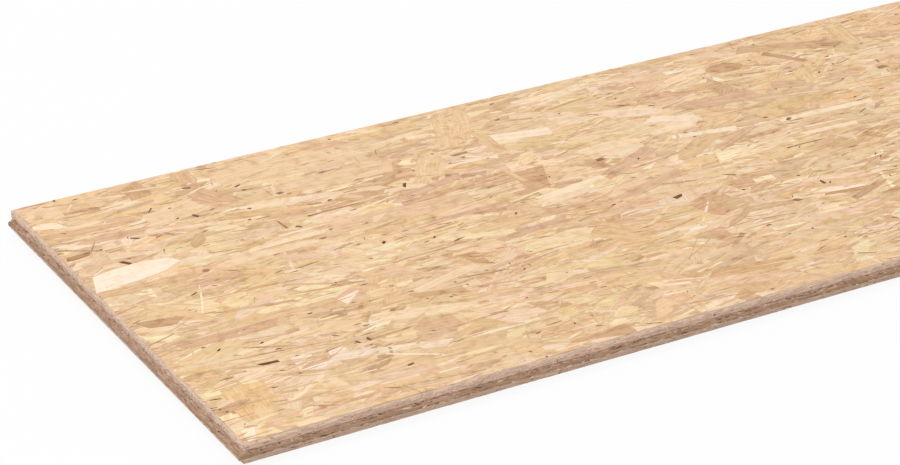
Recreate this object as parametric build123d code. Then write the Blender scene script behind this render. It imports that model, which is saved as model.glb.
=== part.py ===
"""Oriented strand board panel with a tongue-and-groove edge on all four sides.

One pressed and sawn piece. +X runs along the board, +Y across it, +Z up through its thickness.
The origin is the middle of the underside of the whole board, tongues included.
A tongue runs along the left (-X) and near (-Y) edges, and a groove along the right (+X) and far (+Y) edges.
"""
import os

from build123d import *

# Board: the face that shows once the boards are laid, and the thickness
face_length = 2500.0
face_width = 625.0
board_thickness = 25.0

# Tongue: centred in the thickness, narrowing towards a rounded tip
tongue_reach = 8.0
tongue_root_thickness = 6.5
tongue_flank_taper = 0.6
tongue_tip_radius = 1.4

# Groove: takes the tongue of the next board with room to slide and to close
groove_end_clearance = 1.2
groove_flank_clearance = 0.2
groove_corner_radius = 1.0

# Lips: the lower one stands back, so that the upper faces close first
lower_lip_setback = 0.6

# Sawn corners: a small break along the outer corner of every lip
corner_break = 0.5

# Sizes that follow from those above
overall_length = face_length + tongue_reach
overall_width = face_width + tongue_reach
mid_height = board_thickness / 2
tongue_root_half = tongue_root_thickness / 2
tongue_tip_half = tongue_root_half - tongue_flank_taper
groove_depth = tongue_reach + groove_end_clearance
groove_mouth_half = tongue_root_half + groove_flank_clearance
groove_bottom_half = tongue_tip_half + groove_flank_clearance


def edge_section(face_span):
    """Upright section through the board, with its tongue at the start and its groove at the end.

    The upper face runs from zero to face_span, and the section stands on zero height.
    """
    upper_end = face_span
    lower_end = face_span - lower_lip_setback
    groove_end = face_span - groove_depth
    outline = Polyline(
        (lower_lip_setback + corner_break, 0),
        (lower_end - corner_break, 0),
        (lower_end, corner_break),
        (lower_end, mid_height - groove_mouth_half),
        (groove_end, mid_height - groove_bottom_half),
        (groove_end, mid_height + groove_bottom_half),
        (upper_end, mid_height + groove_mouth_half),
        (upper_end, board_thickness - corner_break),
        (upper_end - corner_break, board_thickness),
        (corner_break, board_thickness),
        (0, board_thickness - corner_break),
        (0, mid_height + tongue_root_half),
        (-tongue_reach, mid_height + tongue_tip_half),
        (-tongue_reach, mid_height - tongue_tip_half),
        (lower_lip_setback, mid_height - tongue_root_half),
        (lower_lip_setback, corner_break),
        close=True,
    )
    section = make_face(outline)
    corners = section.vertices().sort_by(Axis.X)
    tongue_tips = corners[:2]
    section = fillet(tongue_tips, tongue_tip_radius)
    groove_corners = [
        corner
        for corner in section.vertices()
        if abs(corner.X - groove_end) < groove_end_clearance / 2
    ]
    return fillet(groove_corners, groove_corner_radius)


def run_across(section, length):
    """Carry an upright section, drawn along X, over a length of Y centred on zero."""
    upright = Plane.XZ * section
    return extrude(upright, amount=length / 2, both=True)


def strand_board():
    """The board: the section along its length and the section across it, kept where both have wood."""
    lengthways = run_across(edge_section(face_length), overall_width)
    lengthways = Pos(X=tongue_reach / 2 - face_length / 2) * lengthways
    crossways = run_across(edge_section(face_width), overall_length)
    crossways = Rot(Z=90) * Pos(X=tongue_reach / 2 - face_width / 2) * crossways
    return lengthways & crossways


os.makedirs("parts", exist_ok=True)
export_step(strand_board(), "parts/strand_board.step")
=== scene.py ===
"""Dress the oriented strand board panel and set it in a plain studio.

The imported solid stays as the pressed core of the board. Over its two faces and its sawn edges lie
wood strands, each a thin closed plate with an outline, tone and grain of its own.
Lengths are in metres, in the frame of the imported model: +X along the board, +Y across it, +Z up.
"""

import logging
from dataclasses import astuple, dataclass, replace
from enum import Enum
from itertools import product

import bpy
import numpy as np
from mathutils import Matrix, Vector


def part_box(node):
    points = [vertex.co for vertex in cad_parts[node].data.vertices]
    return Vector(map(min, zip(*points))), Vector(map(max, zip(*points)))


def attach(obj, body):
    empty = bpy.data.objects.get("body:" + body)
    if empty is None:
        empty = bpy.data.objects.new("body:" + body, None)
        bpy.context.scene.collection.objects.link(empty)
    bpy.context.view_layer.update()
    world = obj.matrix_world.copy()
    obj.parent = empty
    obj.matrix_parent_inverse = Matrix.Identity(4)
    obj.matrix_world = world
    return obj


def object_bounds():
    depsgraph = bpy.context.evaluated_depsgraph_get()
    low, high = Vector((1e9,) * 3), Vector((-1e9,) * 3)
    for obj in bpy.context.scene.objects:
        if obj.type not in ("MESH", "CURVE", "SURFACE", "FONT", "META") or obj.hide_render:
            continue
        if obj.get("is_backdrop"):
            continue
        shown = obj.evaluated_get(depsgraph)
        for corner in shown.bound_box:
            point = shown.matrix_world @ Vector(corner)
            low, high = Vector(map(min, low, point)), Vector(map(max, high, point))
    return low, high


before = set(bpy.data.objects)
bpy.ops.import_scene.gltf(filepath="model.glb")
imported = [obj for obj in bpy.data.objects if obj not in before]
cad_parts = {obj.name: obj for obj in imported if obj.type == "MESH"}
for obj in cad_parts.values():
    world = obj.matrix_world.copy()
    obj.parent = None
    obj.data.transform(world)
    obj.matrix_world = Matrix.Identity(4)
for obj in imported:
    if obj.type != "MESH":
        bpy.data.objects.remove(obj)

log = logging.getLogger("strand_board")

NODE = "strand_board"
BODY = "root"
MM = 0.001
BAKE_MAP = "OFBake"
GRAIN_MAP = "grain"
PLACE_MAP = "place"
STRAND_VALUES = ("tone", "hue", "red")

Array = np.ndarray
Socket = bpy.types.NodeSocket
Colour = tuple[float, float, float, float]
Span = tuple[float, float]

WHITE: Colour = (1.0, 1.0, 1.0, 1.0)


def paint(red: int, green: int, blue: int) -> Colour:
    """Turn a colour as a screen shows it into the linear one that a shader takes.

    Args:
        red, green, blue: The screen's values, from 0 to 255.

    Returns:
        The linear colour with full alpha, by the usual screen curve: a straight toe and a power of 2.4.
    """
    shown = np.array([red, green, blue]) / 255
    linear = np.where(shown <= 0.04045, shown / 12.92, ((shown + 0.055) / 1.055) ** 2.4)
    return (*linear.tolist(), 1.0)


@dataclass(frozen=True)
class Board:
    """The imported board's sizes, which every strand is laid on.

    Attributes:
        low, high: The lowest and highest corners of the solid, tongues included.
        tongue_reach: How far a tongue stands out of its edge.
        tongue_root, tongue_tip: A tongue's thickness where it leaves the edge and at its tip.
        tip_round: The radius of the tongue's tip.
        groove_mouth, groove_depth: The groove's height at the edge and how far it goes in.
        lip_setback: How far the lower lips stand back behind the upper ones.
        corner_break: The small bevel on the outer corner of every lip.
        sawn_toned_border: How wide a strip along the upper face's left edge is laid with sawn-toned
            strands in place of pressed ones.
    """

    low: Array
    high: Array
    tongue_reach: float = 8.0 * MM
    tongue_root: float = 6.5 * MM
    tongue_tip: float = 5.3 * MM
    tip_round: float = 1.4 * MM
    groove_mouth: float = 6.9 * MM
    groove_depth: float = 9.2 * MM
    lip_setback: float = 0.6 * MM
    corner_break: float = 0.5 * MM
    sawn_toned_border: float = 2.2 * MM

    @property
    def mid_height(self) -> float:
        """The height of the middle of the thickness."""
        return float(self.low[2] + self.high[2]) / 2

    @property
    def face_low(self) -> Array:
        """The near left corner of the upper face."""
        return np.array([self.low[0] + self.tongue_reach, self.low[1] + self.tongue_reach, self.high[2]])

    @property
    def face_high(self) -> Array:
        """The far right corner of the upper face."""
        return np.array(self.high)


@dataclass(frozen=True)
class Face:
    """A flat rectangle of the board that strands are laid on.

    Attributes:
        corner: The corner where both sides start.
        along, across: Unit directions of the two sides; their cross product points out of the board.
        size: The lengths of the two sides.
    """

    corner: Array
    along: Array
    across: Array
    size: Array

    @classmethod
    def between(cls, start: list[float], end: list[float], rise: list[float]) -> "Face":
        """Make the rectangle with one side from start to end and the other from start by rise.

        Args:
            start: The first corner.
            end: The corner at the far end of the first side.
            rise: The second side, as a vector.

        Returns:
            The face, whose outward direction is the first side crossed with the second.
        """
        run = np.subtract(end, start)
        lengths = np.array([np.linalg.norm(run), np.linalg.norm(rise)])
        return cls(np.array(start), run / lengths[0], np.array(rise) / lengths[1], lengths)

    def place(self, flat: Array, lift: Array) -> Array:
        """Set points of the flat face into space.

        Args:
            flat: Places along and across the face, in the last axis.
            lift: How far each point stands out of the face.

        Returns:
            The corner plus each place times its side's direction plus the lift times the outward one.
        """
        outward = np.cross(self.along, self.across)
        sideways = flat[..., :1] * self.along + flat[..., 1:] * self.across
        return self.corner + sideways + lift[..., None] * outward


class Grade(Enum):
    """The grades of strand that a press mat is laid from, widest first."""

    FLAKE = "flake"
    STRAND = "strand"
    PICKED = "picked"
    SLIVER = "sliver"
    # Dark thin splinters: partly bark, partly painted shade standing in for the gaps between strands
    SPLINTER = "splinter"
    SPECK = "speck"
    SAWN = "sawn"


@dataclass(frozen=True)
class StrandCut:
    """The sizes and lie of one grade of strand.

    Attributes:
        grade: Which grade it is.
        stations: Points along each side of a strand's outline.
        lift: How far above the board's face the strands stand, lowest and highest.
        slope: The usual rise or fall of a strand from its middle to its ends.
        blunt: The share of the ends that are cut across and not torn to a point.
        rough: The unevenness of its sides, as a share of its width.
        slant: How far off square its ends are usually cut, as a share of its width.
        cover: How many times over its strands would cover the face.
        length, width: The shortest and longest, narrowest and widest.
        turn: The usual angle off the face's first side, in degrees.
        crossed: The share that lies any way round.
        tone: Usual lightness on the scale of the wood tones, from 0 to 1, and its spread.
        pale: The share of the strands that are sapwood, nearly white.
        brown: The share that are heartwood, pinkish brown.
    """

    grade: Grade
    stations: int
    lift: Span
    slope: float
    blunt: float
    rough: float
    slant: float = 0.4
    cover: float = 0.0
    length: Span = (0.0, 0.0)
    width: Span = (0.0, 0.0)
    turn: float = 0.0
    crossed: float = 0.0
    tone: Span = (0.0, 0.0)
    pale: float = 0.0
    brown: float = 0.0


@dataclass(frozen=True)
class PickedStrand:
    """A strand that stands out on the board and is listed one by one.

    Attributes:
        right, down: The place of its middle from the board's far left corner, in millimetres.
        length, width: Its size in millimetres.
        turn: Its angle off the board's length, in degrees.
        tone, hue: Its lightness, and from mauve at 0 to straw yellow at 1.
        red: From greenish at 0 to reddish at 1.
    """

    right: float
    down: float
    length: float
    width: float
    turn: float
    tone: float
    hue: float
    red: float = 0.55


@dataclass
class Drop:
    """Where strands of one grade fall on a face, as arrays with one row for each strand.

    Attributes:
        middle: The place of its middle, along and across the face.
        turn: Its angle off the face's first side, in radians.
        length, width: Its size.
        rise: How far its middle stands above the face.
        tone, hue: Lightness, and from mauve at 0 to straw yellow at 1.
        red: From greenish at 0 to reddish at 1.
    """

    middle: Array
    turn: Array
    length: Array
    width: Array
    rise: Array
    tone: Array
    hue: Array
    red: Array


@dataclass
class Strands:
    """Strands of one grade, as arrays with one row for each strand.

    Attributes:
        sides: Outline points on the right and left side, by strand, side, station and axis.
        lift: The height of each outline point above the face.
        share: How far along the whole strand each outline point lies, from 0 to 1.
        tone, hue: Lightness, and from mauve at 0 to straw yellow at 1.
        red: From greenish at 0 to reddish at 1.
        length: The strand's length before the saw cut it.
        width: Its widest.
        seed: Where on the endless grain pattern it was cut from.
    """

    sides: Array
    lift: Array
    share: Array
    tone: Array
    hue: Array
    red: Array
    length: Array
    width: Array
    seed: Array

    def kept(self, which: Array) -> "Strands":
        """Keep the strands that an array of truths or places names, in that order."""
        return Strands(**{name: values[which] for name, values in vars(self).items()})


# Tones of sapwood and of heartwood strands, and the share of its hue that heartwood keeps
SAPWOOD_TONE: Span = (0.8, 0.95)
HEARTWOOD_TONE: Span = (0.4, 0.54)
HEARTWOOD_HUE = 0.6
# How closely the hues gather about the middle one, and how much further they drift than the tones
HUE_GATHERING = 2
HUE_DRIFT = 3.5
# How many waves a drift over a face is made of, and their lengths in metres
WAVES = 8
WAVE_LENGTH: Span = (0.2, 0.6)
# The width left at a blunt end and at a torn one, and the share of the length drawn in towards it
BLUNT_END: Span = (0.88, 1.0)
TORN_END: Span = (0.05, 0.45)
DRAWN_IN: Span = (0.05, 0.3)
# The limits of a side's roughness and of an end's slant, and the usual bow as a share of the length
ROUGH_LIMITS: Span = (0.7, 1.3)
SLANT_LIMIT = 0.8
USUAL_BOW = 0.01
# How much less a strand leans sideways than it slopes from end to end
ROLL_SHARE = 5
# The lowest strands lie between one and this many times the least lift above the board
LOWEST_SPREAD = 2
# Each strand is cut from the grain pattern at a place up to this far from its middle, in metres
GRAIN_REACH = 5.0
# The fewest and most spots along and across a strand, and the shares that they are spread between
SPOTS_ALONG = (4, 60)
SPOTS_ACROSS = (2, 16)
STRETCH_ALONG: Span = (0.02, 0.98)
STRETCH_ACROSS: Span = (0.1, 0.9)


def log_uniform(rng: np.random.Generator, span: Span, count: int) -> Array:
    """Draw sizes that are as common between 1 and 2 as between 2 and 4.

    Args:
        rng: The random numbers.
        span: The smallest and the largest size.
        count: How many to draw.

    Returns:
        The smallest times the ratio of the two, raised to a random power from 0 to 1.
    """
    return span[0] * (span[1] / span[0]) ** rng.random(count)


def on_face(start: Array, step: Array, size: Array) -> tuple[Array, Array]:
    """Find which share of each straight line lies over a face.

    Args:
        start: Where each line starts, along and across the face.
        step: The way from its start to its end.
        size: The lengths of the face's sides.

    Returns:
        The shares at which each line comes onto the face and leaves it: the last of the two sides
        that it enters by and the first of the two that it leaves by, kept between 0 and 1.
    """
    tiny = 1e-9
    way = np.where(np.abs(step) < tiny, tiny, step)
    low = -start / way
    high = (size - start) / way
    entry = np.minimum(low, high).max(-1)
    leave = np.maximum(low, high).min(-1)
    return entry.clip(0, 1), leave.clip(0, 1)


@dataclass
class StrandMat:
    """A mat of strands pressed onto one flat face.

    Attributes:
        face: The face that it covers.
        cuts: The grades that it is laid from.
        seed: The start of its random numbers.
        picked: Strands laid by hand, among those of the grade for them.
        layers: Heights in the board and what each adds to a strand's tone, for a sawn edge.
        drift: How far the tone wanders over the face.
        root: How far the strands reach into the board.
        least_lift: The lowest that a strand's upper side may lie.
        cell: The raster on which the strands that others hide are found.
        least_seen: The share of a strand that must show for it to be kept.
        shortest_edge: The shortest edge that an outline may have.
    """

    face: Face
    cuts: tuple[StrandCut, ...]
    # picked: Strands listed one by one, among those of the grade for them.
    seed: int
    picked: tuple[PickedStrand, ...] = ()
    layers: tuple[Span, ...] = ()
    drift: float = 0.0
    root: float = 0.05 * MM
    least_lift: float = 0.02 * MM
    cell: float = 2.0 * MM
    least_seen: float = 0.04
    shortest_edge: float = 0.05 * MM

    def lay(self) -> dict[Grade, Strands]:
        """Drop and cut every grade and take out the strands that others hide.

        Returns:
            The strands that show, by grade.
        """
        rng = np.random.default_rng(self.seed)
        laid = {}
        for cut in self.cuts:
            drop = self.pick(cut) if cut.grade is Grade.PICKED else self.drop(cut, rng)
            laid[cut.grade] = self.cut_out(cut, drop, rng)
        return self.uncovered(laid)

    def drop(self, cut: StrandCut, rng: np.random.Generator) -> Drop:
        """Drop one grade of strands at random.

        Args:
            cut: The grade's sizes.
            rng: The random numbers.

        Returns:
            The strands, as many as the cover calls for, some of them partly beside the face.
        """
        size = self.face.size
        mean_area = np.sqrt(np.prod(cut.length) * np.prod(cut.width))
        reach = np.minimum(cut.length[1] / 2, size)
        count = int(cut.cover * np.prod(size + reach) / mean_area)
        turn = np.radians(rng.normal(0, cut.turn, count))
        turn += np.where(rng.random(count) < cut.crossed, rng.uniform(-np.pi / 2, np.pi / 2, count), 0)
        middle = rng.uniform(-reach / 2, size + reach / 2, (count, 2))
        tone = rng.normal(*cut.tone, count)
        hue = rng.beta(HUE_GATHERING, HUE_GATHERING, count)
        hue = (hue + HUE_DRIFT * self.wander(middle, rng)).clip(0, 1)
        kind = rng.random(count)
        heartwood = kind > 1 - cut.brown
        tone = np.where(kind < cut.pale, rng.uniform(*SAPWOOD_TONE, count), tone)
        tone = np.where(heartwood, rng.uniform(*HEARTWOOD_TONE, count), tone)
        hue = np.where(heartwood, hue * HEARTWOOD_HUE, hue)
        tone = tone + self.wander(middle, rng) + self.layer_tone(middle)
        length, width = log_uniform(rng, cut.length, count), log_uniform(rng, cut.width, count)
        rise, red = rng.uniform(*cut.lift, count), rng.random(count)
        return Drop(middle, turn, length, width, rise, tone, hue, red)

    def pick(self, cut: StrandCut) -> Drop:
        """Lay the strands that are listed one by one.

        Args:
            cut: The grade for them, of which only the heights count here.

        Returns:
            The strands, measured from the face's far left corner, the broad ones below the small ones.
        """
        rows = np.array([astuple(strand) for strand in self.picked])
        right, down, length, width, turn, tone, hue, red = rows.T
        middle = np.stack([right * MM, self.face.size[1] - down * MM], -1)
        rise = np.empty(len(right))
        rise[np.argsort(-length * width)] = np.linspace(*cut.lift, len(right))
        return Drop(middle, np.radians(turn), length * MM, width * MM, rise, tone, hue, red)

    def wander(self, middle: Array, rng: np.random.Generator) -> Array:
        """Let tones and hues change slowly over the face.

        Args:
            middle: The strands' places.
            rng: The random numbers.

        Returns:
            The drift times the mean of a few waves of random direction, length and start.
        """
        ways = rng.normal(0, 1, (WAVES, 2))
        ways *= (2 * np.pi / rng.uniform(*WAVE_LENGTH, WAVES) / np.linalg.norm(ways, axis=1))[:, None]
        return self.drift * np.cos(middle @ ways.T + rng.uniform(0, 2 * np.pi, WAVES)).mean(1)

    def layer_tone(self, middle: Array) -> Array:
        """Read what the board's layers add to the tone at each strand's height."""
        if not self.layers:
            return np.zeros(len(middle))
        heights, tones = np.array(self.layers).T
        return np.interp(self.face.place(middle, np.zeros(len(middle)))[:, 2], heights, tones)

    def cut_out(self, cut: StrandCut, drop: Drop, rng: np.random.Generator) -> Strands:
        """Draw the outline of each strand and cut it off at the sides of the face.

        A strand's side is a straight line at half its width from its middle line, bowed a little,
        drawn in towards torn ends, and roughened at every station. Its ends are cut off square or at a
        slant. Each side line is first shortened to the stretch over the face, and then its points are
        held on the face.

        Args:
            cut: The grade's sizes.
            drop: Where the strands lie.
            rng: The random numbers.

        Returns:
            The strands, without those that miss the face or are cut to a thread.
        """
        size = self.face.size
        count = len(drop.turn)
        length, width = drop.length[:, None, None], drop.width[:, None, None]
        lie = np.stack([np.cos(drop.turn), np.sin(drop.turn)], -1)[:, None]
        aside = np.stack([-lie[..., 1], lie[..., 0]], -1)

        side = np.array([-0.5, 0.5])[:, None]
        start = drop.middle[:, None] - lie * length / 2 + aside * width * side
        step = np.broadcast_to(lie * length, start.shape)
        entry, leave = on_face(start, step, size)
        missed = leave <= entry
        entry = np.where(missed, entry[:, ::-1], entry)
        leave = np.where(missed, leave[:, ::-1], leave)

        station = np.linspace(0, 1, cut.stations)
        share = entry[..., None] + (leave - entry)[..., None] * station
        blunt = rng.random((count, 2)) < cut.blunt
        point = np.where(blunt, rng.uniform(*BLUNT_END, (count, 2)), rng.uniform(*TORN_END, (count, 2)))
        torn = rng.uniform(*DRAWN_IN, (count, 2))
        from_start = (share / torn[:, :1, None]).clip(0, 1)
        from_end = ((1 - share) / torn[:, 1:, None]).clip(0, 1)
        taper = (point[:, :1, None] * (1 - from_start) + from_start) * (
            point[:, 1:, None] * (1 - from_end) + from_end
        )
        rough = rng.normal(1, cut.rough, share.shape).clip(*ROUGH_LIMITS)
        slant = rng.normal(0, cut.slant, (count, 1, 2)).clip(-SLANT_LIMIT, SLANT_LIMIT)
        slant = slant * (width / length)
        lean = slant[..., :1] * (1 - share) + slant[..., 1:] * share
        ahead = (share + side * 2 * taper * lean - 0.5) * length
        bow = rng.normal(0, USUAL_BOW, count)[:, None, None] * 4 * share * (1 - share)
        out = side * width * taper * rough + bow * length
        flat = drop.middle[:, None, None] + lie[:, None] * ahead[..., None]
        flat = (flat + aside[:, None] * out[..., None]).clip(0, size)

        tilt = rng.normal(0, cut.slope, count)[:, None, None] * 2 * (share - 0.5)
        roll = rng.normal(0, cut.slope / ROLL_SHARE, count)[:, None, None] * side * 2
        lowest = self.least_lift * rng.uniform(1, LOWEST_SPREAD, count)[:, None, None]
        lift = np.maximum(drop.rise[:, None, None] + tilt + roll, lowest)
        seed = rng.uniform(-GRAIN_REACH, GRAIN_REACH, (count, 2))
        strands = Strands(
            flat, lift, share, drop.tone, drop.hue, drop.red, drop.length, drop.width, seed
        )
        return strands.kept(self.sound(strands))

    def sound(self, strands: Strands) -> Array:
        """Find the strands whose outline is whole.

        Args:
            strands: The strands as cut.

        Returns:
            Truth for each strand with no edge shorter than the shortest allowed and with every strip
            between two stations turned the right way.
        """
        right, left = strands.sides[:, 0], strands.sides[:, 1]
        outline = np.concatenate([right, left[:, ::-1]], 1)
        edges = np.linalg.norm(np.roll(outline, -1, 1) - outline, axis=-1)
        first = np.diff(right, axis=1)
        ahead = left[:, 1:] - right[:, :-1]
        back = left[:, :-1] - right[:, :-1]
        half_one = first[..., 0] * ahead[..., 1] - first[..., 1] * ahead[..., 0]
        half_two = ahead[..., 0] * back[..., 1] - ahead[..., 1] * back[..., 0]
        least = self.shortest_edge**2
        turned = (half_one > least).all(1) & (half_two > least).all(1)
        return turned & (edges > self.shortest_edge).all(1)

    def uncovered(self, laid: dict[Grade, Strands]) -> dict[Grade, Strands]:
        """Take out the strands that lie under others.

        Spots are spread over every strand. The highest spot in each cell of a raster shows.

        Args:
            laid: The strands of each grade.

        Returns:
            The strands of which enough spots show.
        """
        cells = np.ceil(self.face.size / self.cell).astype(int) + 1
        spots = {grade: self.spots(strands, cells) for grade, strands in laid.items()}
        top = np.zeros(cells.prod())
        for cell, lift in spots.values():
            np.maximum.at(top, cell.ravel(), lift.ravel())
        shown = {}
        for grade, (cell, lift) in spots.items():
            seen = (lift >= top[cell] - self.least_lift / 2).mean((1, 2))
            shown[grade] = laid[grade].kept(seen > self.least_seen)
        bare = (top.reshape(cells)[:-1, :-1] == 0).mean()
        log.info("mat %d: bare share %.4f, strands %s", self.seed, bare,
                 {g.value: f"{len(s.tone)} of {len(laid[g].tone)}" for g, s in shown.items()})
        return shown

    def spots(self, strands: Strands, cells: Array) -> tuple[Array, Array]:
        """Spread spots over strands, about one to a raster cell.

        Args:
            strands: The strands of one grade.
            cells: The raster's size along and across.

        Returns:
            The raster cell under each spot and the spot's height, by strand, along and across.
        """
        stations = strands.sides.shape[2]
        along = np.clip(int(strands.length.max(initial=0) / self.cell), *SPOTS_ALONG)
        across = np.clip(int(strands.width.max(initial=0) / self.cell), *SPOTS_ACROSS)
        at = np.linspace(*STRETCH_ALONG, along) * (stations - 1)
        before = np.minimum(at.astype(int), stations - 2)
        after, part = before + 1, at - before
        over = np.linspace(*STRETCH_ACROSS, across)
        row = part[:, None]
        sides = strands.sides[:, :, before] * (1 - row) + strands.sides[:, :, after] * row
        lifts = strands.lift[:, :, before] * (1 - part) + strands.lift[:, :, after] * part
        flat = sides[:, 0, :, None] * (1 - over)[:, None] + sides[:, 1, :, None] * over[:, None]
        lift = lifts[:, 0, :, None] * (1 - over) + lifts[:, 1, :, None] * over
        cell = (flat / self.cell).astype(int)
        return cell[..., 0] * cells[1] + cell[..., 1], lift


def set_out(name: str, data: bpy.types.ID) -> bpy.types.Object:
    """Put an object with the given data into the scene, at the origin."""
    thing = bpy.data.objects.new(name, data)
    bpy.context.scene.collection.objects.link(thing)
    return thing


@dataclass
class PlateMesh:
    """One joined mesh of strands, each a closed plate with straight walls.

    Attributes:
        name: The piece's name.
        batches: Strands, each batch with the face it lies on and how far it reaches into the board.
    """

    name: str
    batches: list[tuple[Face, Strands, float]]

    def build(self) -> bpy.types.Object:
        """Join the batches into one object.

        Returns:
            The object, at the origin, with its maps for grain, place and bake and its tone, hue and
            redness.
        """
        corners, quads, flat, start = [], [], [], 0
        maps = {GRAIN_MAP: [], PLACE_MAP: []}
        values = {name: [] for name in STRAND_VALUES}
        for face, strands, root in self.batches:
            loop = self.outline(strands.sides)
            count, points = loop.shape[:2]
            lift = self.outline(strands.lift)
            top = face.place(loop, lift)
            under = face.place(loop, np.full_like(lift, -root))
            corners.append(np.concatenate([top, under], 1).reshape(-1, 3))
            pattern = self.plate_faces(points // 2)
            first = start + np.arange(count) * 2 * points
            quads.append((pattern + first[:, None, None]).reshape(-1, 4))
            start += count * 2 * points
            share = self.outline(strands.share)
            side = np.where(np.arange(points) < points // 2, -0.5, 0.5)
            lie = np.stack([share * strands.length[:, None], side * strands.width[:, None]], -1)
            from_sides = np.stack([side + 0.5, 0.5 - side], -1) * strands.width[:, None, None]
            for name, upper in ((GRAIN_MAP, lie + strands.seed[:, None]), (PLACE_MAP, from_sides)):
                maps[name].append(np.tile(upper, (1, 2, 1)).reshape(-1, 2))
            flat.append(lie)
            for name, found in values.items():
                found.append(np.repeat(getattr(strands, name), 2 * points))
        mesh = bpy.data.meshes.new(self.name)
        self.fill(mesh, np.concatenate(corners), np.concatenate(quads))
        ends = mesh_ends(mesh)
        for name, places in maps.items():
            self.add_map(mesh, name, np.concatenate(places)[ends])
        self.add_map(mesh, BAKE_MAP, bake_places(flat)[ends])
        for name, found in values.items():
            self.add_values(mesh, name, np.concatenate(found))
        return set_out(self.name, mesh)

    @staticmethod
    def outline(sides: Array) -> Array:
        """Run down the right side and back up the left one, as one loop of points for each strand."""
        return np.concatenate([sides[:, 0], sides[:, 1, ::-1]], 1)

    @staticmethod
    def plate_faces(stations: int) -> Array:
        """List the quads of one plate.

        Args:
            stations: Points along each side.

        Returns:
            Point numbers of the strips on top, the same strips turned over below, and a wall for each
            edge of the outline. The outline's upper points come first and its lower ones after them.
        """
        points = 2 * stations
        i = np.arange(stations - 1)
        top = np.stack([i, i + 1, points - 2 - i, points - 1 - i], -1)
        j = np.arange(points)
        k = (j + 1) % points
        walls = np.stack([j, points + j, points + k, k], -1)
        return np.concatenate([top, top[:, ::-1] + points, walls])

    @staticmethod
    def fill(mesh: bpy.types.Mesh, corners: Array, quads: Array) -> None:
        """Put points and quads into an empty mesh.

        Args:
            mesh: The mesh to fill.
            corners: The points.
            quads: Four point numbers for each face.
        """
        mesh.vertices.add(len(corners))
        mesh.vertices.foreach_set("co", corners.astype(np.float32).ravel())
        mesh.loops.add(quads.size)
        mesh.loops.foreach_set("vertex_index", quads.astype(np.int32).ravel())
        mesh.polygons.add(len(quads))
        mesh.polygons.foreach_set("loop_start", np.arange(0, quads.size, 4, dtype=np.int32))
        mesh.update(calc_edges=True)
        mesh.shade_flat()

    @staticmethod
    def add_map(mesh: bpy.types.Mesh, name: str, places: Array) -> None:
        """Give a mesh a map of places, one for each face corner."""
        mesh.uv_layers.new(name=name).uv.foreach_set("vector", places.astype(np.float32).ravel())

    @staticmethod
    def add_values(mesh: bpy.types.Mesh, name: str, values: Array) -> None:
        """Give a mesh one named number for each point."""
        mesh.attributes.new(name, "FLOAT", "POINT").data.foreach_set("value", values.astype(np.float32))


def mesh_ends(mesh: bpy.types.Mesh) -> Array:
    """Read the point number at every face corner of a mesh."""
    ends = np.empty(len(mesh.loops), np.int32)
    mesh.loops.foreach_get("vertex_index", ends)
    return ends


def bake_places(flat: list[Array], gap: float = 1.0 * MM, slack: float = 1.02) -> Array:
    """Lay every strand flat on one square sheet, side by side in rows.

    Strands are sorted by width and set end to end until a row is full. A strand's lower points lie
    a little outside its upper ones, so its walls have a strip of their own round it.

    Args:
        flat: For each batch, the upper outline points of its strands, along and across each strand.
        gap: The width of a strand's walls on the sheet, and the room left round them.
        slack: How much longer a row is than the side of a square that the strands would just fill.

    Returns:
        A place from 0 to 1 for every point of the joined mesh, upper and lower.
    """
    low = np.concatenate([part.min(1) for part in flat])
    high = np.concatenate([part.max(1) for part in flat])
    room = 2 * gap
    size = high - low + 2 * room
    order = np.argsort(-size[:, 1], kind="stable")
    length, width = size[order].T
    row_length = slack * np.sqrt((length * width).sum())
    ends = np.cumsum(length)
    row = (ends / row_length).astype(int)
    first = np.flatnonzero(np.diff(row, prepend=-1))
    base = np.cumsum(width[first]) - width[first]
    which = np.cumsum(np.diff(row, prepend=row[0] - 1) != 0) - 1
    corner = np.empty_like(low)
    corner[order] = np.stack([ends - length - (ends - length)[first][which], base[which]], -1)
    sheet = max((corner + size).max(), row_length)
    places, start = [], 0
    for part in flat:
        rows = slice(start, start + len(part))
        start += len(part)
        middle = (low[rows] + high[rows])[:, None] / 2
        outer = part + np.sign(part - middle) * gap
        both = np.concatenate([part, outer], 1)
        places.append((both - low[rows, None] + room + corner[rows, None]).reshape(-1, 2) / sheet)
    return np.concatenate(places)


# What smooth noise is on average, and how strongly its finer octaves show
NOISE_MEAN = 0.5
NOISE_ROUGHNESS = 0.55


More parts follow.
